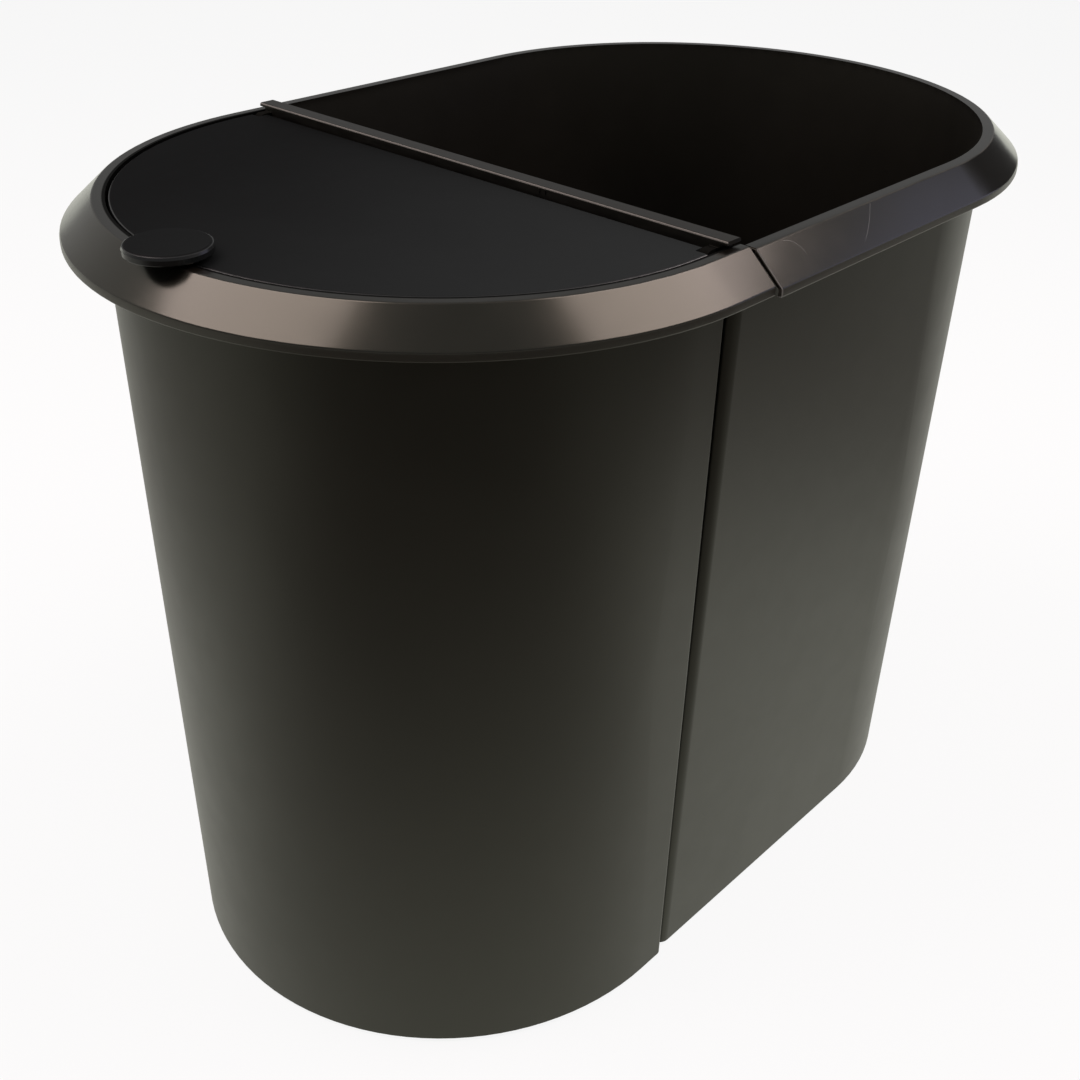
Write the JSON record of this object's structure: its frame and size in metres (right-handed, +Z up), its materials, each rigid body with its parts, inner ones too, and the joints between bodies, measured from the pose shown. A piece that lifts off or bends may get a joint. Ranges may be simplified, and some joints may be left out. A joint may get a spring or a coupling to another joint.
{
  "type": "double recycling bin",
  "caption": "Two tapered waste bins standing back to back as one oval: a large open bin, and a small bin with a hinged flush lid and a finger tab, hooked on by a rail.",
  "frame": {"origin": "on the floor, under the middle of the pair's outline", "axes": "+X along the row, from the small lidded bin to the large open bin; +Y across; +Z up"},
  "size_m": [0.4564, 0.2922, 0.3474],
  "materials": {
    "bin_plastic": "fine grained walls, satin collar",
    "rail_plastic": "satin",
    "lid_plastic": "matte"
  },
  "bodies": {
    "large_bin": {"large_bin": "bin_plastic"},
    "small_bin": {"small_bin": "bin_plastic", "hook_rail": "rail_plastic"},
    "lid": {"lid": "lid_plastic", "finger_tab": "lid_plastic"}
  },
  "joints": [
    {"name": "small_bin_lift", "type": "slide", "parent": "large_bin", "child": "small_bin", "axis": [0, 0, 1], "range_m": [0, 0.03]},
    {"name": "lid_hinge", "type": "hinge", "parent": "small_bin", "child": "lid", "pos_m": [-0.07635, 0, 0.3394], "axis": [0, 1, 0], "range_deg": [0, 95]}
  ]
}
